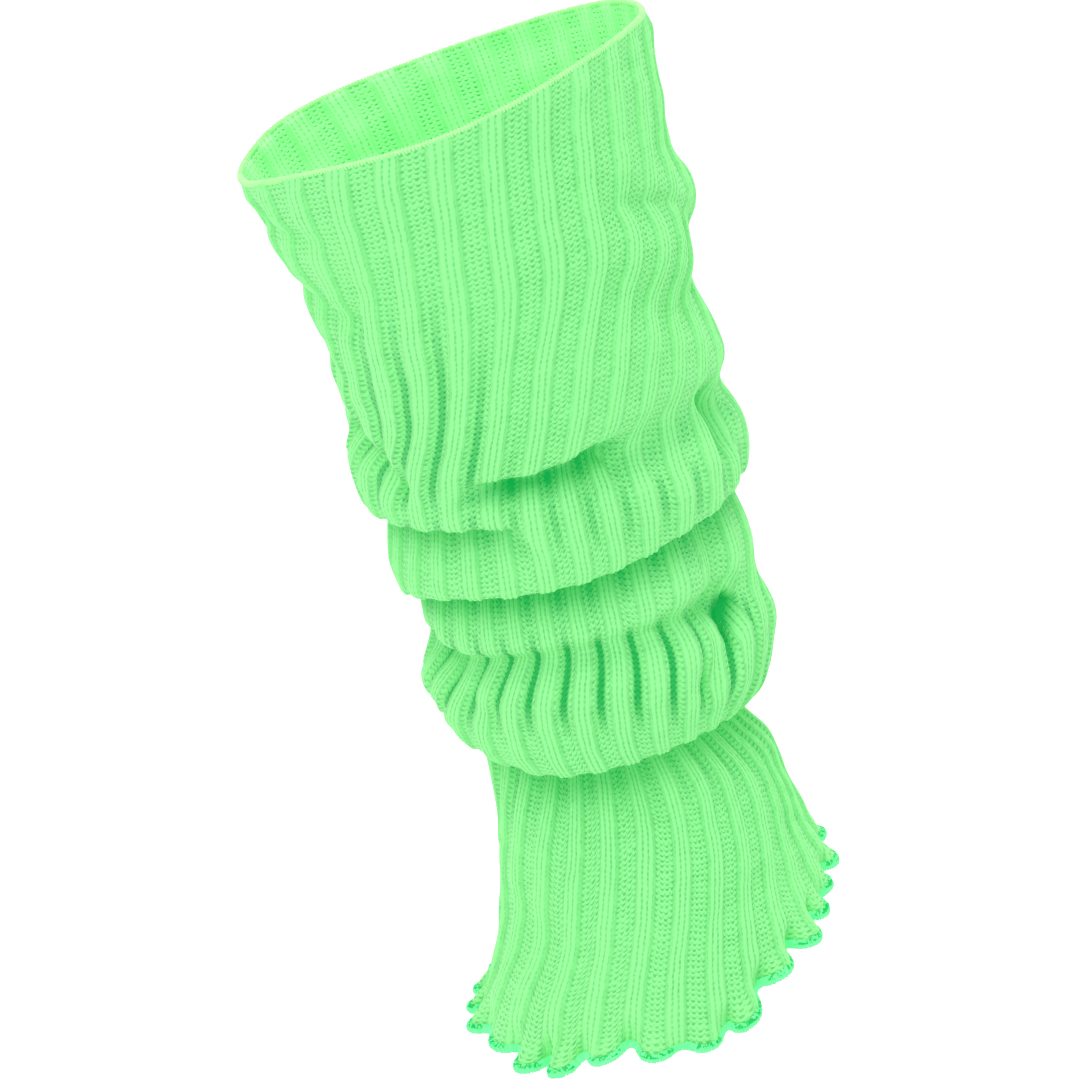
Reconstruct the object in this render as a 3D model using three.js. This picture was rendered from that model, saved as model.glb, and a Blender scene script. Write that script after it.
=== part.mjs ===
// One rib-knit leg warmer, hollow and slouched as it sits on a leg that leans to the right.
// Millimetres, +Z up, +X towards the shin, -Y the side that faces the viewer.
// The origin is inside the calf, where it holds the cloth up: 58 mm below the rim, 3 mm off the axis.
import * as THREE from 'three';

// Knit: a plain wall, with ribs raised on its outer side
const WALL = 1.4;
const RIB_COUNT = 26;
const RIB_RISE = 1.6;
const RIB_LEFT_IN_CREASE = 0.3;
const RIB_LEFT_AT_HEM = 0.4;

// Lettuce edge: the last stretch of cloth waves once a rib, and an overlocked cord runs round it
const WAVE_LENGTH = 11;
const WAVE_REACH = 3;
const EDGE_GAP = 0.43;
const EDGE_HEIGHT = 4.4;
const EDGE_THICKNESS = 3;
const EDGE_DIP = 1.1;
// Where the cord's inner and outer faces end, as a share of its height
const EDGE_SHOULDER = 0.7;

// Points round each wall, as a multiple of the ribs
const OUTER_POINTS = 4 * RIB_COUNT;
const INNER_POINTS = 2 * RIB_COUNT;
const EDGE_POINTS = 6 * RIB_COUNT;

// Sections of the leg's form from above the rim to below the hem: the outline's left and right
// points in the X-Z plane, and half the depth from front to back
const SECTIONS = [
  { leftX: -84.2, leftZ: 35.4, rightX: 43.6, rightZ: 91.2, depth: 60 },
  { leftX: -79.8, leftZ: 28.6, rightX: 45.2, rightZ: 82.9, depth: 60 },
  { leftX: -72.2, leftZ: 14.5, rightX: 47.2, rightZ: 65.3, depth: 59 },
  { leftX: -61, leftZ: -4.4, rightX: 52.4, rightZ: 41, depth: 58 },
  { leftX: -52.8, leftZ: -25, rightX: 60.6, rightZ: 22.3, depth: 57 },
  { leftX: -46, leftZ: -44, rightX: 62.2, rightZ: -4.4, depth: 56.5 },
  { leftX: -44, leftZ: -60, rightX: 71.2, rightZ: -28.8, depth: 56.5 },
  { leftX: -40.8, leftZ: -73.8, rightX: 76.6, rightZ: -50.4, depth: 55.5 },
  { leftX: -33.6, leftZ: -92.1, rightX: 77.6, rightZ: -72.8, depth: 53 },
  { leftX: -29.2, leftZ: -108.3, rightX: 79.8, rightZ: -92.1, depth: 52 },
  { leftX: -25.4, leftZ: -120.6, rightX: 84.8, rightZ: -108.9, depth: 53.5 },
  { leftX: -23.4, leftZ: -132.6, rightX: 83.4, rightZ: -124.5, depth: 52.5 },
  { leftX: -14.8, leftZ: -146.7, rightX: 80, rightZ: -137.5, depth: 49 },
  { leftX: -3.6, leftZ: -159.8, rightX: 81.6, rightZ: -144.7, depth: 45 },
  { leftX: 0, leftZ: -172, rightX: 85.8, rightZ: -152.3, depth: 44 },
  { leftX: 1.6, leftZ: -190.1, rightX: 92.4, rightZ: -165.4, depth: 48 },
  { leftX: 0.6, leftZ: -215, rightX: 99, rightZ: -178.6, depth: 54 },
  { leftX: -5.8, leftZ: -236.7, rightX: 105, rightZ: -189.1, depth: 60 },
  { leftX: -11.4, leftZ: -257.5, rightX: 112, rightZ: -201.7, depth: 63 },
  { leftX: -15.5, leftZ: -273.7, rightX: 119, rightZ: -215, depth: 65 },
];
const RIM_SECTION = 1;

// Lines round the leg, as distances down its axis from the rim section, at eight places round it:
// front, front right, right, back right, back, back left, left, front left
const RIM_LINE = [6.3, 4, 1.4, -3, -6.5, -7, 0, 1.7];
const HEM_LINE = [299, 295, 273, 261, 268, 274, 279, 289];

// Slouch folds, from the top: the line that each hanging lip follows, how far the crease behind it
// is tucked in and up, half the width of the crease, and its stretch round the leg in degrees
// from the front, with the length over which each end fades
const FOLDS = [
  {
    lip: [40, 42, 70, 80, 76, 60, 50, 44],
    tuckIn: 4, tuckUp: 4, width: 8, from: 30, to: 165, fade: 30, rings: 'soft',
  },
  {
    lip: [113.5, 102.3, 103, 100, 103, 104, 107, 110.5],
    tuckIn: 7, tuckUp: 9, width: 6, from: -38, to: 150, fade: 22, rings: 'deep',
  },
  {
    lip: [129, 122, 119, 118, 124, 127, 127.7, 130.2],
    tuckIn: 8, tuckUp: 10, width: 6, from: 160, to: 350, fade: 20, rings: 'deep',
  },
  {
    lip: [152, 143, 134.5, 133, 141, 149, 154, 153.3],
    tuckIn: 9, tuckUp: 11, width: 6, from: 0, to: 360, fade: 0, rings: 'deep',
  },
  {
    lip: [168, 162, 156, 156, 163, 166, 167, 172],
    tuckIn: 6, tuckUp: 5, width: 6, from: 180, to: 435, fade: 25, rings: 'deep',
  },
  {
    lip: [213, 206, 200.5, 199, 205, 206, 203, 213.8],
    tuckIn: 10, tuckUp: 12.5, width: 7, from: 0, to: 360, fade: 0, rings: 'deep',
  },
];

// Rings of points across a fold, in half widths of its crease below the root
const OUTER_RINGS = { soft: [-1.2, 0, 1.2], deep: [-2, -1.4, -0.8, -0.2, 0.5, 1.3] };
const INNER_RINGS = { soft: [-1.2, 0, 1.2], deep: [-1.7, -1, -0.2, 0.5, 1.3] };

// The wide roll below this fold has one more ring, on its middle
const ROLL_FOLD = 4;

// A crease's root lies below its lip by these shares of its width and of its upward tuck
const LIP_TO_ROOT = { width: 1.3, tuckUp: 0.18 };

const MATERIALS = {
  knit: new THREE.MeshStandardMaterial({ color: 0x8cf090, roughness: 0.95, metalness: 0 }),
  edge: new THREE.MeshStandardMaterial({ color: 0x3cdc78, roughness: 0.85, metalness: 0 }),
};

// The most of the way between two creases that their rings may take up
const FREE_SHARE = 0.94;

// The last ring but one above the hem, as a share of the waved stretch
const LAST_RING = 0.4;

// Steps over which directions on a surface are taken, in millimetres and in radians
const STEP_ALONG = 0.3;
const STEP_AROUND = 0.004;

function smoothRise(share) {
  const t = THREE.MathUtils.clamp(share, 0, 1);
  return t * t * (3 - 2 * t);
}

function outlineMiddle(section) {
  return [(section.leftX + section.rightX) / 2, (section.leftZ + section.rightZ) / 2];
}

function distancesDownAxis(sections) {
  const distances = [0];
  for (let i = 1; i < sections.length; i += 1) {
    const [x0, z0] = outlineMiddle(sections[i - 1]);
    const [x1, z1] = outlineMiddle(sections[i]);
    distances.push(distances[i - 1] + Math.hypot(x1 - x0, z1 - z0));
  }
  return distances.map((distance) => distance - distances[RIM_SECTION]);
}

const DISTANCES = distancesDownAxis(SECTIONS);

// A smooth curve through one column of the section table
function alongSections(column, down) {
  const last = SECTIONS.length - 1;
  const at = THREE.MathUtils.clamp(down, DISTANCES[0], DISTANCES[last]);
  let i = 0;
  while (i < last - 1 && DISTANCES[i + 1] < at) i += 1;
  const slope = (k) => {
    const above = Math.max(k - 1, 0);
    const below = Math.min(k + 1, last);
    return (SECTIONS[below][column] - SECTIONS[above][column]) / (DISTANCES[below] - DISTANCES[above]);
  };
  const gap = DISTANCES[i + 1] - DISTANCES[i];
  const t = (at - DISTANCES[i]) / gap;
  const blend = t * t * (3 - 2 * t);
  return SECTIONS[i][column] * (1 - blend) + SECTIONS[i + 1][column] * blend
    + gap * slope(i) * t * (1 - t) * (1 - t) - gap * slope(i + 1) * t * t * (1 - t);
}

// A smooth closed curve through eight values, one each 45 degrees
function aroundLeg(values, angle) {
  const turn = THREE.MathUtils.euclideanModulo(angle / (Math.PI / 4), 8);
  const i = Math.floor(turn);
  const t = turn - i;
  const before = values[(i + 7) % 8];
  const here = values[i];
  const next = values[(i + 1) % 8];
  const after = values[(i + 2) % 8];
  const bend = 2 * before - 5 * here + 4 * next - after + t * (3 * (here - next) + after - before);
  return here + 0.5 * t * (next - before + t * bend);
}

// The plain form without folds. The angle runs from the front (0) by the right (90 degrees).
function legForm(down, angle) {
  const leftX = alongSections('leftX', down);
  const leftZ = alongSections('leftZ', down);
  const rightX = alongSections('rightX', down);
  const rightZ = alongSections('rightZ', down);
  const share = (1 + Math.sin(angle)) / 2;
  return new THREE.Vector3(
    leftX + (rightX - leftX) * share,
    -alongSections('depth', down) * Math.cos(angle),
    leftZ + (rightZ - leftZ) * share,
  );
}

// How much of a fold is there at an angle, from 0 to 1
function foldStrength(fold, angle) {
  if (fold.fade === 0) return 1;
  const into = THREE.MathUtils.euclideanModulo(THREE.MathUtils.radToDeg(angle) - fold.from, 360);
  const left = fold.to - fold.from - into;
  return smoothRise(into / fold.fade) * smoothRise(left / fold.fade);
}

function creaseRoot(fold, angle) {
  return aroundLeg(fold.lip, angle) + LIP_TO_ROOT.width * fold.width
    + LIP_TO_ROOT.tuckUp * fold.tuckUp * foldStrength(fold, angle);
}

// Directions on a surface given as a function of the way down and the angle
function directions(surface, down, angle) {
  const along = surface(down + STEP_ALONG, angle).sub(surface(down - STEP_ALONG, angle)).normalize();
  const around = surface(down, angle + STEP_AROUND).sub(surface(down, angle - STEP_AROUND));
  const outward = along.clone().cross(around).normalize();
  return { along, outward };
}

// The folded cloth: its outer side between two ribs
function cloth(down, angle) {
  const point = legForm(down, angle);
  const { along, outward } = directions(legForm, down, angle);
  for (const fold of FOLDS) {
    const offset = (down - creaseRoot(fold, angle)) / fold.width;
    const depth = foldStrength(fold, angle) * Math.exp(-offset * offset);
    point.addScaledVector(outward, -fold.tuckIn * depth);
    point.addScaledVector(along, -fold.tuckUp * depth);
  }
  return point;
}

// From 0 to 1 over the last stretch of cloth above the hem
function towardsHem(down, angle) {
  return smoothRise(1 + (down - aroundLeg(HEM_LINE, angle)) / WAVE_LENGTH);
}

// How far the lettuce wave carries the cloth outwards, one wave to a rib
function waveOffset(down, angle) {
  return WAVE_REACH * towardsHem(down, angle) * Math.cos(RIB_COUNT * angle);
}

// How flat the ribs are pressed, from 0 on open cloth to 1 in the bottom of a crease
function pressedFlat(down, angle) {
  let most = 0;
  for (const fold of FOLDS) {
    const offset = (down - creaseRoot(fold, angle)) / fold.width;
    most = Math.max(most, foldStrength(fold, angle) * Math.exp(-offset * offset));
  }
  return most;
}

// One list of ways down for each ring of points, from the rim to the hem. A ring follows its crease.
function ringHeights(angle, foldRings) {
  const rim = aroundLeg(RIM_LINE, angle);
  const hem = aroundLeg(HEM_LINE, angle);
  const roots = FOLDS.map((fold) => creaseRoot(fold, angle));
  const reachUp = FOLDS.map((fold) => -foldRings[fold.rings][0] * fold.width);
  const reachDown = FOLDS.map((fold) => foldRings[fold.rings].at(-1) * fold.width);
  // Where two creases lie close, the rings between them move together
  const squeezes = FOLDS.slice(1).map((fold, i) => {
    const room = FREE_SHARE * (roots[i + 1] - roots[i]);
    return Math.min(1, room / (reachDown[i] + reachUp[i + 1]));
  });
  const rings = [rim, (rim + roots[0] - reachUp[0]) / 2];
  FOLDS.forEach((fold, i) => {
    foldRings[fold.rings].forEach((turn) => {
      const squeeze = (turn < 0 ? squeezes[i - 1] : squeezes[i]) ?? 1;
      rings.push(roots[i] + turn * fold.width * squeeze);
    });
    if (i === ROLL_FOLD) rings.push((rings.at(-1) + roots[i + 1] - reachUp[i + 1]) / 2);
  });
  const waveStart = hem - WAVE_LENGTH;
  rings.push((rings.at(-1) + waveStart) / 2, waveStart, hem - WAVE_LENGTH * LAST_RING, hem);
  return rings;
}

// Rings of points for one side of the wall, as lists of vectors
function wallRings(count, shift, foldRings, offsetAt) {
  const columns = [];
  for (let j = 0; j < count; j += 1) {
    const angle = (2 * Math.PI * (j + shift)) / count;
    columns.push(ringHeights(angle, foldRings).map((down) => {
      const { outward } = directions(cloth, down, angle);
      const offset = waveOffset(down, angle) + offsetAt(j, down, angle);
      return cloth(down, angle).addScaledVector(outward, offset);
    }));
  }
  return columns[0].map((_, ring) => columns.map((column) => column[ring]));
}

function ribOffset(j, down, angle) {
  const onRib = j % 4 === 0 || j % 4 === 3;
  if (!onRib) return 0;
  const crease = 1 - (1 - RIB_LEFT_IN_CREASE) * pressedFlat(down, angle);
  return RIB_RISE * crease * (1 - (1 - RIB_LEFT_AT_HEM) * towardsHem(down, angle));
}

function geometryFrom(rings, faces) {
  const geometry = new THREE.BufferGeometry();
  const positions = rings.flat().flatMap((point) => [point.x, point.y, point.z]);
  geometry.setAttribute('position', new THREE.Float32BufferAttribute(positions, 3));
  geometry.setIndex(faces);
  geometry.computeVertexNormals();
  return geometry;
}

// Two triangles for each four-sided face between two rings, split along the shorter diagonal
function skin(rings, first, count, points, outside) {
  const faces = [];
  for (let ring = 0; ring < rings.length - 1; ring += 1) {
    for (let j = 0; j < count; j += 1) {
      const k = (j + 1) % count;
      const topLeft = first + ring * count + j;
      const topRight = first + ring * count + k;
      const lowLeft = topLeft + count;
      const lowRight = topRight + count;
      const falling = points[topLeft].distanceTo(points[lowRight]);
      const rising = points[topRight].distanceTo(points[lowLeft]);
      const pair = falling < rising
        ? [[topLeft, lowLeft, lowRight], [topLeft, lowRight, topRight]]
        : [[topLeft, lowLeft, topRight], [topRight, lowLeft, lowRight]];
      pair.forEach(([a, b, c]) => faces.push(...(outside ? [a, b, c] : [a, c, b])));
    }
  }
  return faces;
}

// The end of the wall, between an outer ring and an inner ring with half as many points
function wallEnd(outerFirst, innerFirst, facingUp) {
  const faces = [];
  for (let k = 0; k < INNER_POINTS; k += 1) {
    const before = outerFirst + ((2 * k - 1 + OUTER_POINTS) % OUTER_POINTS);
    const after = outerFirst + 2 * k;
    const afterNext = outerFirst + ((2 * k + 1) % OUTER_POINTS);
    const inner = innerFirst + k;
    const innerNext = innerFirst + ((k + 1) % INNER_POINTS);
    const three = [[before, after, inner], [after, afterNext, inner], [afterNext, innerNext, inner]];
    three.forEach(([a, b, c]) => faces.push(...(facingUp ? [a, b, c] : [a, c, b])));
  }
  return faces;
}

// Outer points straddle a rib's middle in fours. Inner ones lie on its middle and between two ribs.
function ribTube() {
  const outer = wallRings(OUTER_POINTS, 0.5, OUTER_RINGS, ribOffset);
  const inner = wallRings(INNER_POINTS, 0, INNER_RINGS, () => -WALL);
  const points = [...outer.flat(), ...inner.flat()];
  const innerFirst = outer.length * OUTER_POINTS;
  const lastOuter = (outer.length - 1) * OUTER_POINTS;
  const lastInner = innerFirst + (inner.length - 1) * INNER_POINTS;
  const faces = [
    ...skin(outer, 0, OUTER_POINTS, points, true),
    ...skin(inner, innerFirst, INNER_POINTS, points, false),
    ...wallEnd(0, innerFirst, true),
    ...wallEnd(lastOuter, lastInner, false),
  ];
  return geometryFrom([...outer, ...inner], faces);
}

// A closed cord of five sides that follows the tube's lower edge, its own lower side scalloped
function lettuceHem() {
  const outerFace = RIB_RISE * RIB_LEFT_AT_HEM;
  const innerFace = outerFace - EDGE_THICKNESS;
  const profile = [
    { out: innerFace, low: 0 },
    { out: innerFace, low: EDGE_SHOULDER },
    { out: (outerFace + innerFace) / 2, low: 1 },
    { out: outerFace, low: EDGE_SHOULDER },
    { out: outerFace, low: 0 },
  ];
  const rings = [];
  for (let j = 0; j < EDGE_POINTS; j += 1) {
    const angle = (2 * Math.PI * j) / EDGE_POINTS;
    const down = aroundLeg(HEM_LINE, angle);
    const { along, outward } = directions(cloth, down, angle);
    const dip = EDGE_DIP * Math.cos(RIB_COUNT * angle);
    rings.push(profile.map((corner) => cloth(down, angle)
      .addScaledVector(outward, waveOffset(down, angle) + corner.out)
      .addScaledVector(along, EDGE_GAP + corner.low * (EDGE_HEIGHT + dip))));
  }
  rings.push(rings[0]);
  const sides = profile.length;
  const points = rings.flat();
  const faces = skin(rings, 0, sides, points, true);
  const wrapped = faces.map((index) => index % (EDGE_POINTS * sides));
  return geometryFrom(rings.slice(0, -1), wrapped);
}

function piece(name, geometry, material) {
  const mesh = new THREE.Mesh(geometry, material);
  mesh.name = name;
  return mesh;
}

const legWarmer = new THREE.Group();
legWarmer.add(piece('rib_tube', ribTube(), MATERIALS.knit));
legWarmer.add(piece('lettuce_hem', lettuceHem(), MATERIALS.edge));

export default legWarmer;
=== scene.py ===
# One neon green rib-knit leg warmer, hollow and slouched as worn, with a waved, overlocked hem.
# Metres, +Z up, +X towards the shin, -Y the side that faces the viewer.
import functools
import math

import bpy
import numpy as np
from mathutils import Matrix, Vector


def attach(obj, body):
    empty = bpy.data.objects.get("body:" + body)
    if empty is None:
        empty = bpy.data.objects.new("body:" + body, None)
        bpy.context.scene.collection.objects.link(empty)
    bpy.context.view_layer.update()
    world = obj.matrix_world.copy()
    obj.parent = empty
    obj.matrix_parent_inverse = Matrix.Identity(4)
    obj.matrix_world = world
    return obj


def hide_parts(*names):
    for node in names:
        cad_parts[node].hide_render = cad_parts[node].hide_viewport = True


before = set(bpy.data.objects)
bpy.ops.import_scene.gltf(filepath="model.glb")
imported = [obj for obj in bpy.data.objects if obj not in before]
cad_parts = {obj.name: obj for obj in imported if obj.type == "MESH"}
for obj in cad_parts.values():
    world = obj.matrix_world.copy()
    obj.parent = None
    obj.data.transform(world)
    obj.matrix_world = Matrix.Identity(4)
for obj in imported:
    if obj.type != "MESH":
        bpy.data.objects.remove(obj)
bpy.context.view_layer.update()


# The knitted tube
# One seamless tube of soft acrylic rib, 26 repeats of three plain stitches and four purl ones. It is
# knitted straight and is worn slouched: it hangs in rolls, with deep creases between them.
RIB_COUNT = 26
KNIT_WALES = 3
PURL_WALES = 4
WALES = RIB_COUNT * (KNIT_WALES + PURL_WALES)
COURSES = 206
WALL = 0.0014

# Sections of the leg's form from above the rim to below the hem: the outline's left and right
# points in the X-Z plane, and half the depth from front to back
SECTION_COLUMNS = ("left_x", "left_z", "right_x", "right_z", "depth")
SECTIONS = np.array([
    (-0.0886, 0.0422, 0.0420, 0.0995, 0.0600),
    (-0.0842, 0.0354, 0.0436, 0.0912, 0.0600),
    (-0.0798, 0.0286, 0.0452, 0.0829, 0.0600),
    (-0.0722, 0.0145, 0.0472, 0.0653, 0.0590),
    (-0.0610, -0.0044, 0.0524, 0.0410, 0.0580),
    (-0.0528, -0.0250, 0.0606, 0.0223, 0.0570),
    (-0.0460, -0.0440, 0.0622, -0.0044, 0.0565),
    (-0.0440, -0.0600, 0.0712, -0.0288, 0.0565),
    (-0.0408, -0.0738, 0.0766, -0.0504, 0.0555),
    (-0.0336, -0.0921, 0.0776, -0.0728, 0.0530),
    (-0.0292, -0.1083, 0.0798, -0.0921, 0.0520),
    (-0.0254, -0.1206, 0.0848, -0.1089, 0.0535),
    (-0.0234, -0.1326, 0.0834, -0.1245, 0.0525),
    (-0.0148, -0.1467, 0.0800, -0.1375, 0.0490),
    (-0.0036, -0.1598, 0.0816, -0.1447, 0.0450),
    (0.0000, -0.1720, 0.0858, -0.1523, 0.0440),
    (0.0016, -0.1901, 0.0924, -0.1654, 0.0480),
    (0.0006, -0.2150, 0.0990, -0.1786, 0.0540),
    (-0.0058, -0.2367, 0.1050, -0.1891, 0.0600),
    (-0.0114, -0.2575, 0.1120, -0.2017, 0.0630),
    (-0.0155, -0.2737, 0.1190, -0.2150, 0.0650),
])
RIM_SECTION = 2

# Lines round the leg, as distances down its axis from the rim section, at eight places round it:
# front, front right, right, back right, back, back left, left, front left
RIM_LINE = (0.0063, 0.0040, 0.0014, -0.0028, -0.0060, -0.0084, -0.0010, 0.0017)
HEM_LINE = (0.3003, 0.2905, 0.2738, 0.262, 0.269, 0.275, 0.280, 0.2872)
# Where the hem hangs lower than that line, or higher: degrees from the front, how much, and half the
# width in degrees
HEM_DIPS = (
    (-39, 0.0025, 14),
    (-12, -0.0046, 12),
    (18, 0.0046, 11),
)

# The lip on the front and right of the calf, which is sharp at its left end and soft at its right one
CALF_LIP = (0.1135, 0.1023, 0.103, 0.100, 0.103, 0.104, 0.107, 0.1105)

# Slouch folds, from the top: the line that each hanging lip follows, how far the crease behind it is
# tucked in and up, half the width of the crease, how dark the shade painted under the lip is, and its
# stretch round the leg in degrees from the front, with the length over which each end fades
FOLDS = (
    dict(lip=(0.040, 0.042, 0.063, 0.077, 0.076, 0.060, 0.050, 0.044),
         tuck_in=0.0032, tuck_up=0.0036, width=0.0075, shade=0.1, start=30, end=165, fade=30),
    dict(lip=CALF_LIP,
         tuck_in=0.0045, tuck_up=0.0066, width=0.0050, shade=1.1, start=-36, end=30, fade=20),
    dict(lip=CALF_LIP,
         tuck_in=0.0058, tuck_up=0.0034, width=0.0080, shade=0.34, start=-12, end=150, fade=34),
    dict(lip=(0.129, 0.122, 0.119, 0.118, 0.124, 0.125, 0.1245, 0.1295),
         tuck_in=0.0085, tuck_up=0.0125, width=0.0060, shade=0.6, start=160, end=357, fade=24),
    dict(lip=(0.152, 0.143, 0.1345, 0.133, 0.141, 0.149, 0.154, 0.1533),
         tuck_in=0.0095, tuck_up=0.0140, width=0.0060, shade=0.85, start=0, end=360, fade=0),
    dict(lip=(0.168, 0.162, 0.156, 0.156, 0.163, 0.166, 0.167, 0.172),
         tuck_in=0.0066, tuck_up=0.0052, width=0.0062, shade=0.3, start=180, end=440, fade=26),
    dict(lip=(0.213, 0.206, 0.2005, 0.199, 0.205, 0.204, 0.199, 0.2130),
         tuck_in=0.0105, tuck_up=0.0165, width=0.0068, shade=0.55, start=0, end=360, fade=0),
)
# The crease's root lies below the lip by these shares of its width and its tuck. In widths of the
# crease: how wide the stretch is that presses the ribs flat, and where the painted shadow lies and how
# wide
LIP_TO_ROOT = dict(width=1.3, tuck_up=0.12)
PRESSED_WIDTH = 1.25
SHADOW_BELOW_ROOT, SHADOW_WIDTH = 0.45, 0.42


def smooth_rise(share):
    t = np.clip(share, 0, 1)
    return t * t * (3 - 2 * t)


def distances_down_axis():
    middle = (SECTIONS[:, :2] + SECTIONS[:, 2:4]) / 2
    steps = np.hypot(*np.diff(middle, axis=0).T)
    distances = np.concatenate([[0], np.cumsum(steps)])
    return distances - distances[RIM_SECTION]


DISTANCES = distances_down_axis()


def smooth_curve(places, rows, at):
    """A smooth curve through a row of values at each place. The values of a row and the columns of the
    grid that the curve is read at match one to one."""
    last = len(places) - 1
    slopes = np.empty_like(rows)
    slopes[1:-1] = (rows[2:] - rows[:-2]) / (places[2:] - places[:-2])[:, None]
    slopes[0] = (rows[1] - rows[0]) / (places[1] - places[0])
    slopes[last] = (rows[last] - rows[last - 1]) / (places[last] - places[last - 1])
    at = np.clip(at, places[0], places[last])
    i = np.clip(np.searchsorted(places, at, side="right") - 1, 0, last - 1)
    gap = places[i + 1] - places[i]
    t = (at - places[i]) / gap
    start, leave = (np.take_along_axis(table, i, axis=0) for table in (rows, slopes))
    end, arrive = (np.take_along_axis(table, i + 1, axis=0) for table in (rows, slopes))
    blend = smooth_rise(t)
    bend = leave * t * (1 - t) ** 2 - arrive * t * t * (1 - t)
    return start * (1 - blend) + end * blend + gap * bend


def along_sections(column, down):
    values = SECTIONS[:, SECTION_COLUMNS.index(column), None]
    return smooth_curve(DISTANCES, np.broadcast_to(values, (len(values), down.shape[1])), down)


def around_leg(values, angle):
    """A smooth closed curve through eight values, one each 45 degrees."""
    values = np.asarray(values)
    turn = (angle / (math.pi / 4)) % 8
    i = np.floor(turn).astype(int) % 8
    t = turn - np.floor(turn)
    before, here, following, after = (values[(i + k) % 8] for k in (-1, 0, 1, 2))
    bend = 2 * before - 5 * here + 4 * following - after + t * (3 * (here - following) + after - before)
    return here + 0.5 * t * (following - before + t * bend)


def leg_form(down, angle):
    """The plain form without folds. The angle runs from the front (0) by the right (90 degrees)."""
    left_x, left_z, right_x, right_z, depth = (along_sections(name, down) for name in SECTION_COLUMNS)
    share = (1 + np.sin(angle)) / 2
    return np.stack([left_x + (right_x - left_x) * share, -depth * np.cos(angle),
                     left_z + (right_z - left_z) * share], axis=-1)


def fold_strength(fold, angle):
    if fold["fade"] == 0:
        return np.ones_like(angle)
    into = (np.degrees(angle) - fold["start"]) % 360
    left = fold["end"] - fold["start"] - into
    return smooth_rise(into / fold["fade"]) * smooth_rise(left / fold["fade"])


def crease_root(fold, angle):
    return (around_leg(fold["lip"], angle) + LIP_TO_ROOT["width"] * fold["width"]
            + LIP_TO_ROOT["tuck_up"] * fold["tuck_up"] * fold_strength(fold, angle))


def crease_depth(fold, down, angle):
    return fold_strength(fold, angle) * np.exp(-((down - crease_root(fold, angle)) / fold["width"]) ** 2)


def pressed_by(fold, down, angle):
    """How flat a fold presses the ribs, from its lip to its crease."""
    middle = crease_root(fold, angle) - fold["width"]
    return fold_strength(fold, angle) * np.exp(-((down - middle) / (PRESSED_WIDTH * fold["width"])) ** 2)


def shaded_by(fold, down, angle):
    """How much shade is painted on the cloth where it comes out under a fold's lip."""
    comes_out = crease_root(fold, angle) + SHADOW_BELOW_ROOT * fold["width"]
    away = (down - comes_out) / (SHADOW_WIDTH * fold["width"])
    return fold["shade"] * fold_strength(fold, angle) * np.exp(-away ** 2)


def unit(vectors):
    return vectors / np.linalg.norm(vectors, axis=-1, keepdims=True)


STEP_ALONG = 0.0003
STEP_AROUND = 0.004


def directions(surface, down, angle):
    """The way down a surface and the way out of it."""
    along = unit(surface(down + STEP_ALONG, angle) - surface(down - STEP_ALONG, angle))
    around = surface(down, angle + STEP_AROUND) - surface(down, angle - STEP_AROUND)
    return along, unit(np.cross(along, around))
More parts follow.
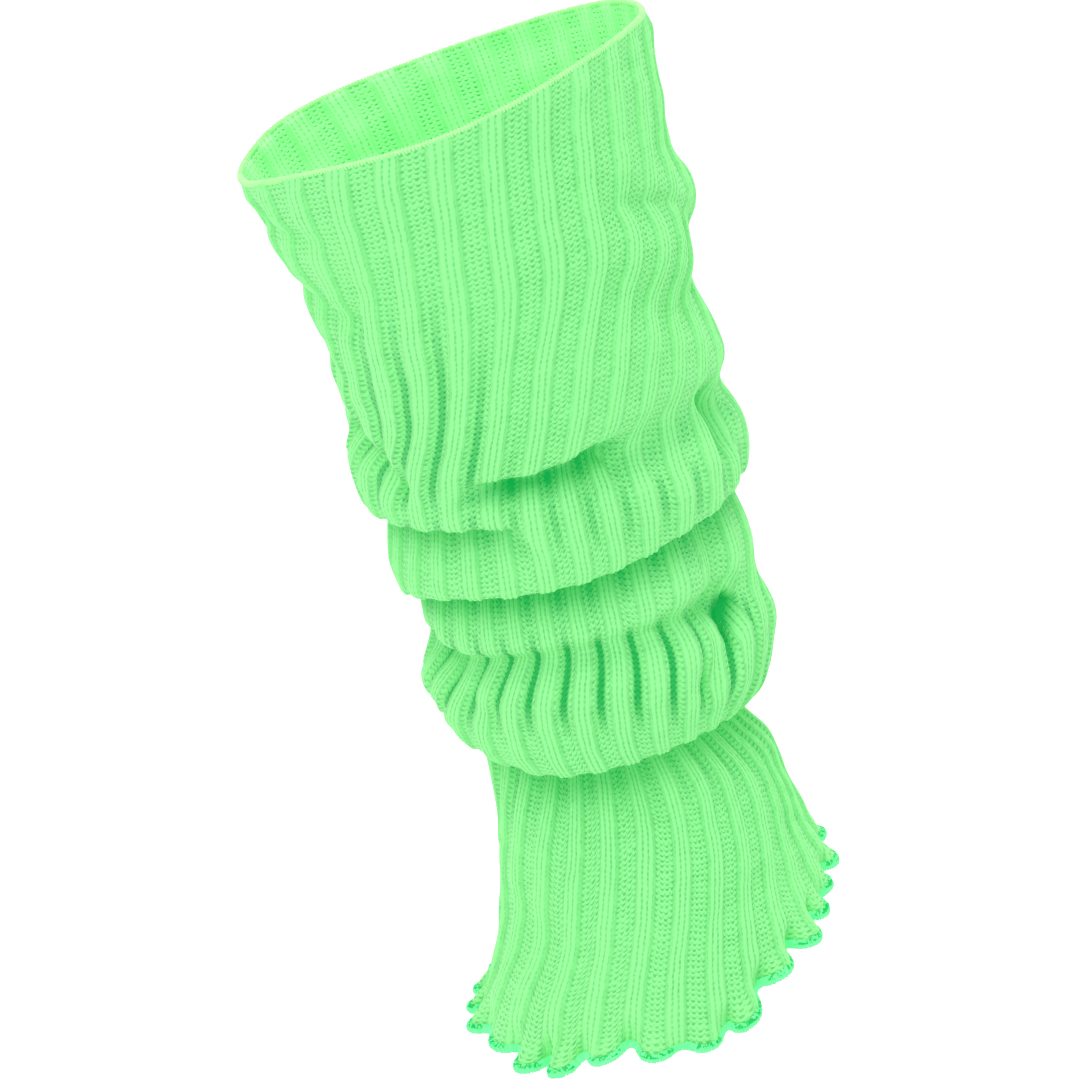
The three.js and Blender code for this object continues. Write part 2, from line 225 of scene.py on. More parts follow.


# Softer creases and dimples on every side: a line of points (metres down the leg, degrees
# round it), the depth inwards (a ridge where it is below zero), half the width, and for a few how deep
# in shadow the yarn lies, and the way that a slit goes in
# the shadow given for a few creases is shade painted into the yarn's colour
SOFT_CREASES = (
    # upper calf, left edge: three shallow scallops
    dict(line=((0.013, -88), (0.020, -62), (0.024, -50)), depth=0.0022, width=0.0042),
    dict(line=((0.036, -96), (0.043, -70), (0.052, -52)), depth=0.0026, width=0.0050),
    dict(line=((0.058, -92), (0.069, -72)), depth=0.0016, width=0.0048),
    # left side above the first roll: the swirl where the ribs bow
    dict(line=((0.086, -84), (0.095, -70), (0.101, -58), (0.112, -50)), depth=0.0046, width=0.0052),
    dict(line=((0.100, -92), (0.108, -74)), depth=-0.0020, width=0.0050),
    # upper calf, front and right
    dict(line=((0.030, 26), (0.040, 38), (0.052, 48)), depth=0.0010, width=0.0060),
    dict(line=((0.072, 34), (0.082, 52), (0.084, 70)), depth=0.0016, width=0.0055),
    dict(line=((0.086, 10), (0.092, 24), (0.090, 40)), depth=-0.0012, width=0.0070),
    dict(line=((0.080, 82), (0.083, 100)), depth=0.0022, width=0.0060),
    # the pinch at the left end of the second lip on the right
    dict(line=((0.122, -16), (0.1234, -4), (0.1232, 6), (0.1205, 16)), depth=0.0040, width=0.0026,
         shadow=0.9),
    # right edge: a bulge under the second lip
    dict(line=((0.118, 80), (0.117, 98)), depth=-0.0036, width=0.0065),
    # right side, between the first two lips
    dict(line=((0.1130, 66), (0.1175, 69), (0.1215, 67)), depth=0.0052, width=0.0058, shadow=0.55),
    dict(line=((0.108, 50), (0.106, 62), (0.107, 74)), depth=-0.0012, width=0.0050),
    dict(line=((0.120, 20), (0.124, 34), (0.121, 46)), depth=0.0014, width=0.0050),
    # the deep slit in the roll on the right, with dark shade painted into it
    dict(line=((0.1700, 63), (0.1725, 59), (0.1750, 55.5), (0.1780, 52)), depth=0.0090, width=0.0021,
         shadow=2.6, way_in=(-0.35, 0.90, 0)),
    dict(line=((0.158, 56), (0.169, 51), (0.181, 45), (0.188, 40)), depth=0.0038, width=0.0065),
    # roll below, left end
    dict(line=((0.176, -70), (0.186, -54), (0.192, -40)), depth=0.0024, width=0.0050),
    dict(line=((0.187, -98), (0.192, -84), (0.196, -70)), depth=0.0032, width=0.0056),
    dict(line=((0.188, 20), (0.192, 34), (0.190, 50)), depth=-0.0012, width=0.0065),
    # foot: soft buckles under the last lip
    dict(line=((0.226, -44), (0.236, -30), (0.240, -14)), depth=0.0016, width=0.0070),
    dict(line=((0.232, 4), (0.238, 20), (0.234, 38)), depth=0.0012, width=0.0080),
    dict(line=((0.252, -62), (0.262, -44), (0.262, -28)), depth=0.0012, width=0.0075),
    # hidden side
    dict(line=((0.024, 112), (0.034, 136), (0.032, 160)), depth=0.0020, width=0.0056),
    dict(line=((0.056, 176), (0.066, 200), (0.060, 224)), depth=0.0026, width=0.0062),
    dict(line=((0.082, 206), (0.096, 226), (0.102, 250)), depth=0.0034, width=0.0052),
    dict(line=((0.092, 118), (0.088, 140), (0.094, 158)), depth=0.0020, width=0.0060),
    dict(line=((0.146, 200), (0.152, 222)), depth=0.0022, width=0.0045),
    dict(line=((0.168, 128), (0.178, 134), (0.188, 132)), depth=0.0062, width=0.0036),
    dict(line=((0.172, 236), (0.184, 250), (0.190, 268)), depth=0.0028, width=0.0050),
    dict(line=((0.222, 150), (0.230, 172), (0.228, 200)), depth=0.0018, width=0.0075),
    dict(line=((0.240, 216), (0.246, 240), (0.242, 262)), depth=0.0014, width=0.0075),
)
LEG_RADIUS = 0.055


def turned_from(place, angle):
    """How far round the leg an angle is from a place, by the shorter way."""
    return (angle - place + math.pi) % math.tau - math.pi


def share_of(crease, down, angle):
    """From 0 far from a soft crease to 1 on its line, on the unrolled leg."""
    nearest = np.full_like(down, np.inf)
    points = [(d, math.radians(a)) for d, a in crease["line"]]
    for (d0, a0), (d1, a1) in zip(points, points[1:]):
        across = turned_from(a0, angle) * LEG_RADIUS
        run_down, run_across = d1 - d0, (a1 - a0) * LEG_RADIUS
        share = ((down - d0) * run_down + across * run_across) / (run_down ** 2 + run_across ** 2)
        share = np.clip(share, 0, 1)
        away = np.hypot(down - d0 - share * run_down, across - share * run_across)
        nearest = np.minimum(nearest, away)
    return np.exp(-(nearest / crease["width"]) ** 2)


def soft_dents(down, angle, outward):
    """How the softer creases move the cloth."""
    moves = np.zeros_like(outward)
    for crease in SOFT_CREASES:
        way_in = crease.get("way_in", -outward)
        moves += np.asarray(way_in) * (crease["depth"] * share_of(crease, down, angle))[..., None]
    return moves


# A slow, uneven wobble of the cloth: size, turns down the leg per metre, turns round it, and start
WOBBLES = (
    (0.00045, 24, 3, 0.4),
    (0.00028, 41, -5, 1.9),
    (0.00012, 66, 8, 4.1),
    (0.00008, 93, -11, 2.6),
)


def wobble(down, angle):
    return sum(size * np.sin(math.tau * per_metre * down + turns * angle + start)
               for size, per_metre, turns, start in WOBBLES)


def cloth(down, angle):
    """The folded cloth between two ribs."""
    points = leg_form(down, angle)
    along, outward = directions(leg_form, down, angle)
    for fold in FOLDS:
        depth = crease_depth(fold, down, angle)[..., None]
        points = points - outward * fold["tuck_in"] * depth - along * fold["tuck_up"] * depth
    return points + outward * wobble(down, angle)[..., None] + soft_dents(down, angle, outward)


# How the ribs wander round the leg, in degrees towards the right, because they hang straight down while
# the leg leans: a row for each distance down the leg, and a column for each of the eight places round it
SWAY_DOWN = np.array([-0.01, 0.03, 0.06, 0.09, 0.12, 0.15, 0.18, 0.21, 0.24, 0.27, 0.31])
SWAY = (
    (31, 29, 24, 14, 10, 14, 21, 28),
    (22, 22, 16, 9, 7, 9, 14, 19),
    (14, 14, 9, 5, 3, 4, 8, 11),
    (4, 1, -1, -1, -1, 0, 4, 6),
    (-7, -14, -12, -7, -5, -4, -2, -4),
    (-8, -15, -13, -9, -7, -6, -5, -6),
    (-15, -22, -25, -33, -18, -10, -8, -6),
    (-20, -20, -29, -43, -26, -18, -20, -24),
    (-31, -28, -34, -46, -30, -26, -34, -37),
    (-35, -35, -41, -46, -33, -30, -40, -43),
    (-35, -39, -45, -44, -33, -32, -44, -47),
)


def sway(down, angle):
    rows = np.stack([around_leg(row, angle) for row in SWAY])
    return np.radians(smooth_curve(SWAY_DOWN, rows, down))


# The last stretch of cloth above the hem stands in lettuce waves, one to a rib and uneven in size. They
# reach out between the ribs: how far, how far their tops curl over to both sides and to one side, and
# how much lower the tops hang. The rows give what makes them uneven: size, turns round, and start
WAVE_LENGTH = 0.0085
WAVE_REACH = 0.0027
WAVE_CURL, SECOND_CURL = 0.011, 0.007
WAVE_LEAN = 0.007
WAVE_DIP = 0.0016
WAVE_SHIFTS = ((0.7, 3, 1.1), (0.5, 7, 0.0))
WAVE_SIZES = ((0.32, 5, 0.8), (0.30, 11, 2.4))
LEANS_RIGHT = 0.4
HEM_SAMPLES = 2881


def hem_columns():
    """Where round the leg the columns of stitches reach the hem."""
    column = np.linspace(-math.pi, 3 * math.pi, HEM_SAMPLES)
    return column + sway(around_leg(HEM_LINE, column)[None], column)[0], column


HEM_PLACES, HEM_COLUMNS = hem_columns()


def unevenness(rows, column):
    return sum(size * np.sin(turns * column + start) for size, turns, start in rows)


def lettuce_wave(angle):
    """The phase, the size and the lean of the waves."""
    column = np.interp(angle % math.tau, HEM_PLACES, HEM_COLUMNS)
    phase = RIB_COUNT * column + math.pi + unevenness(WAVE_SHIFTS, column)
    return phase, 1 + unevenness(WAVE_SIZES, column), np.sin(5 * column + 0.5) + LEANS_RIGHT


def rim_line(angle):
    return around_leg(RIM_LINE, angle)


def hem_line(angle):
    phase, size, _ = lettuce_wave(angle)
    down = around_leg(HEM_LINE, angle) + WAVE_DIP * size * np.cos(phase)
    for middle, lower, half in HEM_DIPS:
        away = np.degrees(turned_from(math.radians(middle), angle))
        down = down + lower * np.exp(-(away / half) ** 2)
    return down


def waved_cloth(down, angle, below_face=0.0):
    """The cloth with the waves at its hem, the ways out of it, and how near the hem it is."""
    phase, size, lean = lettuce_wave(angle)
    near = smooth_rise(1 + (down - hem_line(angle)) / WAVE_LENGTH)
    curl = WAVE_CURL * np.sin(phase) + SECOND_CURL * np.sin(2 * phase) + WAVE_LEAN * lean * np.cos(phase)
    curled = angle + near * size * curl
    way_out = directions(cloth, down, curled)[1]
    reach = WAVE_REACH * near * size * np.cos(phase) - below_face
    return cloth(down, curled) + way_out * reach[..., None], way_out, near


FOLLOW_STEPS = 8


def follow(line, angle):
    """How far down the leg each swaying column of stitches crosses a line round it."""
    down = line(angle)[None]
    for _ in range(FOLLOW_STEPS):
        down = line(angle + sway(down, angle))
    return down


FINE_STEPS = 900


@functools.lru_cache
def columns_of_stitches(count):
    """Fine lines down the cloth, evenly round it at the start: their angles, distances down the leg and
    courses, which are even along the cloth itself."""
    angle = math.tau * np.arange(count) / count - math.pi * KNIT_WALES / WALES
    rim, hem = follow(rim_line, angle), follow(hem_line, angle)
    down = rim + (hem - rim) * np.linspace(0, 1, FINE_STEPS)[:, None]
    lines = cloth(down, angle + sway(down, angle))
    steps = np.linalg.norm(np.diff(lines, axis=0), axis=-1)
    lengths = np.concatenate([np.zeros((1, count)), np.cumsum(steps, axis=0)])
    return angle, down, lengths / lengths[-1] * COURSES


def knit_grid(count, top, bottom, rings):
    """The courses, distances down and angles of rings of points between two ends. An end is "rim",
    "hem" or the fold whose crease it follows."""
    angle, fine_down, worn = columns_of_stitches(count)
    ends = []
    for end in (top, bottom):
        line = {"rim": rim_line, "hem": hem_line}.get(end) or functools.partial(crease_root, FOLDS[end])
        ends.append(follow(line, angle)[0])
    courses, down = np.empty((2, rings, count))
    for k in range(count):
        first, last = (np.interp(end[k], fine_down[:, k], worn[:, k]) for end in ends)
        courses[:, k] = np.linspace(first, last, rings)
        down[:, k] = np.interp(courses[:, k], worn[:, k], fine_down[:, k])
    return courses, down, angle + sway(down, angle)


RINGS_PER_COURSE = 1.3
OUTER_POINTS = 3 * WALES
INNER_POINTS = 14 * RIB_COUNT
INNER_RINGS_PER_COURSE = 0.8
RIM_FLATNESS, RIM_FLAT_LENGTH = 1.15, 0.006
HEM_FLATNESS = 0.8
# Where the slouch bunches the ribs up: the stretch down the leg (from, full from, full to, to), the
# middle of the stretch round it and half its length in degrees, and how much. The same amount paints
# shade into the grooves between the ribs
BUNCHES = (
    (0.036, 0.092, 0.112, 0.126, -58, 34, 0.75),
    (0.122, 0.128, 0.133, 0.143, 0, 180, 0.45),
    (0.166, 0.177, 0.187, 0.202, 0, 180, 1.0),
    (0.212, 0.217, 0.221, 0.235, 0, 180, 0.55),
)
BUNCH_FADE = 22


def bunching(down, angle):
    total = np.zeros_like(down)
    for start, full, late, end, middle, half, size in BUNCHES:
        away = np.abs(np.degrees(turned_from(math.radians(middle), angle)))
        rise = smooth_rise((down - start) / (full - start))
        fall = smooth_rise((end - down) / (end - late))
        total += size * rise * fall * smooth_rise((half + BUNCH_FADE - away) / BUNCH_FADE)
    return total


def wall_side(top, bottom, apart, inside):
    """One side of the wall between two ends that are about so many courses apart."""
    count = INNER_POINTS if inside else OUTER_POINTS
    rings = round(apart * (INNER_RINGS_PER_COURSE if inside else RINGS_PER_COURSE)) + 1
    courses, down, angle = knit_grid(count, top, bottom, rings)
    points, way_out, near_hem = waved_cloth(down, angle, WALL if inside else 0)
    near_rim = smooth_rise(1 - (down - rim_line(angle)) / RIM_FLAT_LENGTH)
    creases = [pressed_by(fold, down, angle) for fold in FOLDS]
    # painted shade: how dark the yarn is painted under each fold's lip and in a few soft creases
    painted_shades = [shaded_by(fold, down, angle) for fold in FOLDS]
    painted_shades += [crease["shadow"] * share_of(crease, down, angle)
                for crease in SOFT_CREASES if "shadow" in crease]
    return dict(
        painted_shade=np.maximum.reduce(painted_shades),
        bunched=bunching(down, angle),
        points=points,
        way_out=way_out,
        pressed=np.maximum.reduce(creases + [RIM_FLATNESS * near_rim, HEM_FLATNESS * near_hem]),
        wale=np.broadcast_to(np.arange(count) * WALES / count, down.shape),
        course=courses,
        inner_side=np.full(down.shape, float(inside)),
    )


def grid_faces(side, first, inside):
    """Four-sided faces between rings, with the stitch counts at their corners."""
    rings, count = side["wale"].shape
    index = first + np.arange(rings * count).reshape(rings, count)
    after = np.roll(index, -1, 1)
    quads = np.stack([index[:-1], index[1:], after[1:], after[:-1]], axis=-1)
    wale = np.append(side["wale"][0], WALES)
    u = np.broadcast_to(np.stack([wale[:-1], wale[:-1], wale[1:], wale[1:]], axis=-1), quads.shape)
    course, beside = side["course"], np.roll(side["course"], -1, 1)
    v = np.stack([course[:-1], course[1:], beside[1:], beside[:-1]], axis=-1)
    uv = np.stack([u, v], axis=-1)
    if inside:
        quads, uv = quads[..., ::-1], uv[..., ::-1, :]
    return index, quads.reshape(-1, 4), uv.reshape(-1, 2)


def end_faces(outer, inner, course, at_top):
    """Three-sided faces across the wall, between rings that have different numbers of points."""
    faces, uv = [], []
    i = j = 0
    while i < len(outer) or j < len(inner):
        a, b = outer[i % len(outer)], inner[j % len(inner)]
        if j >= len(inner) or (i + 1) * len(inner) <= (j + 1) * len(outer):
            i += 1
            face = [a, outer[i % len(outer)], b]
        else:
            j += 1
            face = [a, inner[j % len(inner)], b]
        faces.append(face if at_top else face[::-1])
        uv += [(WALES * i / len(outer), course)] * 3
    return faces, uv


def keep_on_points(mesh, label, values):
    """Stores a number or a direction for each point of a mesh."""
    kind, field = ("FLOAT_VECTOR", "vector") if values.ndim == 2 else ("FLOAT", "value")
    mesh.attributes.new(label, kind, "POINT").data.foreach_set(field, values.astype(np.float32).ravel())


def put_in_scene(name, data):
    made = bpy.data.objects.new(name, data)
    bpy.context.scene.collection.objects.link(made)
    return made


def build_stretch(name, top, bottom, apart):
    """A stretch of the tube as a closed wall, with what the ribs need as attributes."""
    outer, inner = sides = [wall_side(top, bottom, apart, inside) for inside in (False, True)]
    outer_index, outer_quads, outer_uv = grid_faces(outer, 0, inside=False)
    inner_index, inner_quads, inner_uv = grid_faces(inner, outer_index.size, inside=True)
    faces = outer_quads.tolist() + inner_quads.tolist()
    uv = [outer_uv, inner_uv]
    for end, at_top in ((0, True), (-1, False)):
        course = float(outer["course"][end].mean())
        rim_faces, rim_uv = end_faces(outer_index[end], inner_index[end], course, at_top)
        faces += rim_faces
        uv.append(np.array(rim_uv))
    points, ways = (np.concatenate([side[label].reshape(-1, 3) for side in sides])
                    for label in ("points", "way_out"))
    mesh = bpy.data.meshes.new(name)
    mesh.from_pydata(points.tolist(), [], faces)
    mesh.uv_layers.new(name="Stitches").data.foreach_set("uv", np.concatenate(uv).ravel())
    for label in ("pressed", "painted_shade", "bunched", "wale", "inner_side"):
        keep_on_points(mesh, label, np.concatenate([side[label].ravel() for side in sides]))
    keep_on_points(mesh, "way_out", ways)
    mesh.shade_smooth()
    return put_in_scene(name, mesh)


def add_node(tree, kind, inputs=(), **settings):
    """A node of one kind, with its settings, and its inputs as links or plain values."""
    node = tree.nodes.new(kind)
    for name, value in settings.items():
        setattr(node, name, value)
    for name, value in dict(inputs).items():
        if isinstance(value, bpy.types.NodeSocket):
            tree.links.new(value, node.inputs[name])
        else:
            node.inputs[name].default_value = value
    return node


def calc(tree, operation, *values):
    """A maths node, given links or plain numbers."""
    return add_node(tree, "ShaderNodeMath", dict(enumerate(values)), operation=operation).outputs[0]


def soft_step(tree, value, low, high):
    """From 0 where the value is low to 1 where it is high."""
    ends = {"Value": value, "From Min": low, "From Max": high}
    return add_node(tree, "ShaderNodeMapRange", ends, interpolation_type="SMOOTHSTEP").outputs["Result"]


def parts_of(tree, vector):
    return add_node(tree, "ShaderNodeSeparateXYZ", {0: vector}).outputs


def from_rib_middle(tree, wale):
    """How many stitches a place is from the middle of the nearest rib."""
    half_repeat = (KNIT_WALES + PURL_WALES) / 2
    from_middle = calc(tree, "SUBTRACT", wale, KNIT_WALES / 2)
    return calc(tree, "ABSOLUTE", calc(tree, "WRAP", from_middle, half_repeat, -half_repeat))


def new_tree(label, inputs):
    """An empty tree that changes a geometry, with named inputs, and its input and output sockets."""
    tree = bpy.data.node_groups.new(label, "GeometryNodeTree")
    for name, kind in {"Geometry": "Geometry", **inputs}.items():
        tree.interface.new_socket(name, in_out="INPUT", socket_type="NodeSocket" + kind)
    tree.interface.new_socket("Geometry", in_out="OUTPUT", socket_type="NodeSocketGeometry")
    given, result = add_node(tree, "NodeGroupInput"), add_node(tree, "NodeGroupOutput")
    return tree, given.outputs, result.inputs["Geometry"]


def on_points(tree, label, kind="FLOAT"):
    """What is stored on the points of the geometry."""
    node = add_node(tree, "GeometryNodeInputNamedAttribute", {"Name": label}, data_type=kind)
    return node.outputs["Attribute"]


# The rib's edges in stitches from its middle, and what a crease and a bunch do to a rib
RIB_EDGE = (KNIT_WALES / 2 - 0.35, KNIT_WALES / 2 + 0.45)
RIB_LEFT_IN_CREASE = 0.14
RIB_WIDER_IN_BUNCH = 0.9
RIB_HIGHER_IN_BUNCH = 0.5


def rib_tree():
    """Moves each point of the wall out by its rib and by the roundness of its column of stitches."""
    tree, given, result = new_tree("Raise ribs", {
        "Rib rise": "Float", "Inner rise": "Float", "Column bulge": "Float",
        "Outside": "Material", "Inside": "Material"})
    maths = functools.partial(calc, tree)
    wale, inner, bunched, pressed = (on_points(tree, label)
                                     for label in ("wale", "inner_side", "bunched", "pressed"))
    away = maths("MULTIPLY_ADD", bunched, -RIB_WIDER_IN_BUNCH, from_rib_middle(tree, wale))
    rib = maths("SUBTRACT", 1, soft_step(tree, away, *RIB_EDGE))
    lift = maths("SUBTRACT", 1, maths("MULTIPLY", pressed, 1 - RIB_LEFT_IN_CREASE))
    lift = maths("MULTIPLY", lift, maths("MULTIPLY_ADD", bunched, RIB_HIGHER_IN_BUNCH, 1.0))
    inner_more = maths("SUBTRACT", given["Inner rise"], given["Rib rise"])
    rise = maths("ADD", given["Rib rise"], maths("MULTIPLY", inner, inner_more))
    off_middle = maths("SUBTRACT", maths("FRACT", wale), 0.5)
    bulge = maths("SUBTRACT", 1, maths("MULTIPLY", maths("MULTIPLY", off_middle, off_middle), 4))
    plain = maths("ABSOLUTE", maths("SUBTRACT", rib, inner))
    outwards = maths("SUBTRACT", 1, maths("MULTIPLY", inner, 2))
    bulge = maths("MULTIPLY", maths("MULTIPLY", bulge, given["Column bulge"]),
                  maths("MULTIPLY", plain, outwards))
    height = maths("ADD", maths("MULTIPLY", maths("MULTIPLY", rib, rise), lift), bulge)
    way_out = on_points(tree, "way_out", "FLOAT_VECTOR")
    offset = add_node(tree, "ShaderNodeVectorMath", {0: way_out, "Scale": height}, operation="SCALE")
    wall = add_node(tree, "GeometryNodeSetPosition",
                    {"Geometry": given["Geometry"], "Offset": offset.outputs["Vector"]})
    wall = add_node(tree, "GeometryNodeRealizeInstances", {"Geometry": wall.outputs["Geometry"]})
    wall = add_node(tree, "GeometryNodeSetMaterial",
                    {"Geometry": wall.outputs["Geometry"], "Material": given["Outside"]})
    wall = add_node(tree, "GeometryNodeSetMaterial",
                    {"Geometry": wall.outputs["Geometry"], "Material": given["Inside"],
                     "Selection": maths("GREATER_THAN", inner, 0.9)})
    tree.links.new(wall.outputs["Geometry"], result)
    return tree


def run_tree(piece, tree, **values):
    """Runs a tree on a piece once, with values for its named inputs, and keeps the plain mesh."""
    modifier = piece.modifiers.new(tree.name, "NODES")
    modifier.node_group = tree
    for item in tree.interface.items_tree:
        key = item.name.lower().replace(" ", "_")
        if item.in_out == "INPUT" and key in values:
            modifier[item.identifier] = values[key]
    bpy.context.view_layer.update()
    evaluated = piece.evaluated_get(bpy.context.evaluated_depsgraph_get())
    mesh = bpy.data.meshes.new_from_object(evaluated)
    mesh.name = piece.name
    piece.modifiers.clear()
    piece.data = mesh


def noise(tree, vector, scale, detail):
    """Uneven values from 0 to 1, and three of them as a vector."""
    node = add_node(tree, "ShaderNodeTexNoise", {"Vector": vector, "Scale": scale, "Detail": detail})
    return node.outputs["Fac"], node.outputs["Color"]


# How far the stitches drift from their even grid, in stitches across and in rows, how deep the gaps of
# the plain side and of the purl side look, and how dark the shade painted beside the ribs is
DRIFT_SCALE, DRIFT_ACROSS, DRIFT_DOWN = 0.45, 0.5, 1.3
PLAIN_GAP = 0.75
PURL_GAP, PURL_LEAST = 0.85, 0.11
BAR_WAVE = 0.15
RIB_FOOT_SHADE, FOOT_HALF_WIDTH = 0.5, 0.35
FIBRE_SCALE, FIBRE_HEIGHT = 5.0, 0.35


def stitch_group():
    """Knit stitches from stitch counts: how dark the gaps are, with painted shade in the groove beside
    each rib, and how high the yarn stands.
    """
    tree = bpy.data.node_groups.new("Knit stitches", "ShaderNodeTree")
    for name, in_out, kind in (("Count", "INPUT", "Vector"), ("Inner side", "INPUT", "Float"),
                               ("Gap", "OUTPUT", "Float"), ("Height", "OUTPUT", "Float")):
        tree.interface.new_socket(name, in_out=in_out, socket_type="NodeSocket" + kind)
    given, result = add_node(tree, "NodeGroupInput").outputs, add_node(tree, "NodeGroupOutput").inputs
    maths = functools.partial(calc, tree)
    counts = parts_of(tree, given["Count"])
    drift = parts_of(tree, noise(tree, given["Count"], DRIFT_SCALE, 3.0)[1])
    across, down = (maths("SUBTRACT", drift[axis], 0.5) for axis in ("X", "Y"))
    wale = maths("ADD", counts["X"], maths("MULTIPLY", across, DRIFT_ACROSS))
    course = maths("ADD", counts["Y"], maths("MULTIPLY", down, DRIFT_DOWN))
    away = from_rib_middle(tree, counts["X"])
    rib = maths("SUBTRACT", 1, soft_step(tree, away, KNIT_WALES / 2 - 0.2, KNIT_WALES / 2 + 0.2))
    plain = maths("ABSOLUTE", maths("SUBTRACT", rib, given["Inner side"]))

    # plain side: a smooth line of yarn to a column, with a dotted groove beside it
    edge = maths("ABSOLUTE", maths("MULTIPLY", maths("SUBTRACT", maths("FRACT", wale), 0.5), 2))
    chevron = maths("ADD", course, maths("MULTIPLY", edge, 0.5))
    beads = maths("MULTIPLY_ADD", maths("COSINE", maths("MULTIPLY", chevron, math.tau)), 0.5, 0.5)
    groove = maths("MULTIPLY", soft_step(tree, edge, 0.45, 1.0), maths("MULTIPLY_ADD", beads, 0.6, 0.4))
    middle = maths("MULTIPLY", maths("SUBTRACT", 1, soft_step(tree, edge, 0.0, 0.3)),
                   maths("MULTIPLY_ADD", beads, -0.22, 0.25))
    plain_gap = maths("MULTIPLY", maths("MAXIMUM", groove, middle), PLAIN_GAP)

    # purl side: short wavy bars across the column, with dark dots between in a brick pattern
    columns = maths("COSINE", maths("MULTIPLY", wale, math.tau))
    wavy = maths("MULTIPLY_ADD", columns, BAR_WAVE, course)
    bars = maths("COSINE", maths("MULTIPLY", wavy, math.tau))
    bricks = maths("MULTIPLY", columns, maths("COSINE", maths("MULTIPLY", course, math.tau)))
    dots = maths("MULTIPLY_ADD", bars, -0.5, maths("MULTIPLY", bricks, 0.5))
    purl_gap = maths("MULTIPLY_ADD", soft_step(tree, dots, -0.05, 0.95), PURL_GAP, PURL_LEAST)

    # painted shade in the groove where the rib stands up from the purl stitches
    beside = maths("ABSOLUTE", maths("SUBTRACT", away, KNIT_WALES / 2 + 0.3))
    foot = maths("SUBTRACT", 1, soft_step(tree, beside, 0.0, FOOT_HALF_WIDTH))
    foot = maths("MULTIPLY", foot, RIB_FOOT_SHADE)
    mixed = maths("ADD", maths("MULTIPLY", plain, plain_gap),
                  maths("MULTIPLY", maths("SUBTRACT", 1, plain), purl_gap))
    uneven = maths("MULTIPLY_ADD", drift["Z"], 1.3, 0.3)
    gap = maths("MULTIPLY", maths("MAXIMUM", mixed, foot), uneven)
    fibres, _ = noise(tree, given["Count"], FIBRE_SCALE, 4.0)
    tree.links.new(gap, result["Gap"])
    tree.links.new(maths("SUBTRACT", maths("MULTIPLY", fibres, FIBRE_HEIGHT), gap), result["Height"])
    return tree


STITCHES = stitch_group()
# painted glow: the fluorescent dye is given a steady green emission of its own, whatever light falls on
# it, so even its shadows stay green. The glow is at half strength, so these colours are twice what it
# adds. The deep colours are those of the gaps between stitches and of the painted shade
KNIT_LIGHT, KNIT_DEEP = (0.205, 0.39, 0.195, 1), (0.0, 0.070, 0.020, 1)
GLOW_LIGHT, GLOW_DEEP = (0.0, 0.80, 0.064, 1), (0.0, 0.72, 0.100, 1)
# the inside of the tube is painted lighter than the outside, with a stronger glow
INSIDE_PAINTED_LIGHTER, INSIDE_PAINTED_GLOW = (0.34, 0.56, 0.30, 1), (0.0, 1.00, 0.080, 1)
GLOW_STRENGTH = 0.5
STITCH_BUMP = 0.0005
PATCH_SCALE = 26.0
# between ribs the cloth's deepest part, where the shade painted in creases and bunches is darkest,
# starts and ends so many stitches from a rib's middle
DEEPEST_BETWEEN = (2.4, 3.2)


def yarn_material(label):
    """Soft matt acrylic yarn with a fine fuzz that catches light at grazing angles, and a painted glow.
    """
    material = bpy.data.materials.new(label)
    material.use_nodes = True
    tree = material.node_tree
    shader = tree.nodes["Principled BSDF"]
    shader.inputs["Roughness"].default_value = 0.9
    shader.inputs["Specular IOR Level"].default_value = 0.15
    shader.inputs["Sheen Weight"].default_value = 0.3
    shader.inputs["Sheen Roughness"].default_value = 0.45
    shader.inputs["Sheen Tint"].default_value = (0.75, 1.0, 0.7, 1)
    shader.inputs["Emission Strength"].default_value = GLOW_STRENGTH
    return material, tree, shader


def shade_yarn(tree, shader, depth, height, distance, base, glow):
    """Links the shader's base colour and painted glow, from light to deep by the depth, and its bump."""
    for socket, (light, deep) in (("Base Color", base), ("Emission Color", glow)):
        colour = add_node(tree, "ShaderNodeMix", data_type="RGBA")
        tree.links.new(depth, colour.inputs["Factor"])
        colour.inputs["A"].default_value = light
        colour.inputs["B"].default_value = deep
        tree.links.new(colour.outputs["Result"], shader.inputs[socket])
    bump = add_node(tree, "ShaderNodeBump", {"Height": height, "Distance": distance})
    tree.links.new(bump.outputs["Normal"], shader.inputs["Normal"])


def attribute(tree, label):
    return add_node(tree, "ShaderNodeAttribute", attribute_name=label).outputs["Fac"]


def object_place(tree):
    return add_node(tree, "ShaderNodeTexCoord").outputs["Object"]


def knit_material(label, inner_side, light, glow):
    material, tree, shader = yarn_material(label)
    maths = functools.partial(calc, tree)
    count = add_node(tree, "ShaderNodeUVMap", uv_map="Stitches").outputs["UV"]
    stitches = add_node(tree, "ShaderNodeGroup", node_tree=STITCHES)
    stitches.inputs["Inner side"].default_value = inner_side
    tree.links.new(count, stitches.inputs["Count"])
    patches, _ = noise(tree, object_place(tree), PATCH_SCALE, 3.0)
    depth = maths("MULTIPLY", stitches.outputs["Gap"], maths("MULTIPLY_ADD", patches, 0.55, 0.29))
    # painted shade: the creases and the grooves between bunched ribs are painted in the deep colours,
    # where no light gets in, so only the painted green glow is left there
    groove = soft_step(tree, from_rib_middle(tree, parts_of(tree, count)["X"]), *DEEPEST_BETWEEN)
    painted_crease_shade = maths("MULTIPLY", attribute(tree, "painted_shade"), maths("MULTIPLY_ADD", groove, 0.35, 0.6))
    painted_bunch_shade = maths("MULTIPLY", attribute(tree, "bunched"), maths("MULTIPLY", groove, 0.85))
    depth = maths("ADD", depth, maths("MAXIMUM", painted_crease_shade, painted_bunch_shade))
    height = stitches.outputs["Height"]
    shade_yarn(tree, shader, depth, height, STITCH_BUMP, (light, KNIT_DEEP), (glow, GLOW_DEEP))
    return material


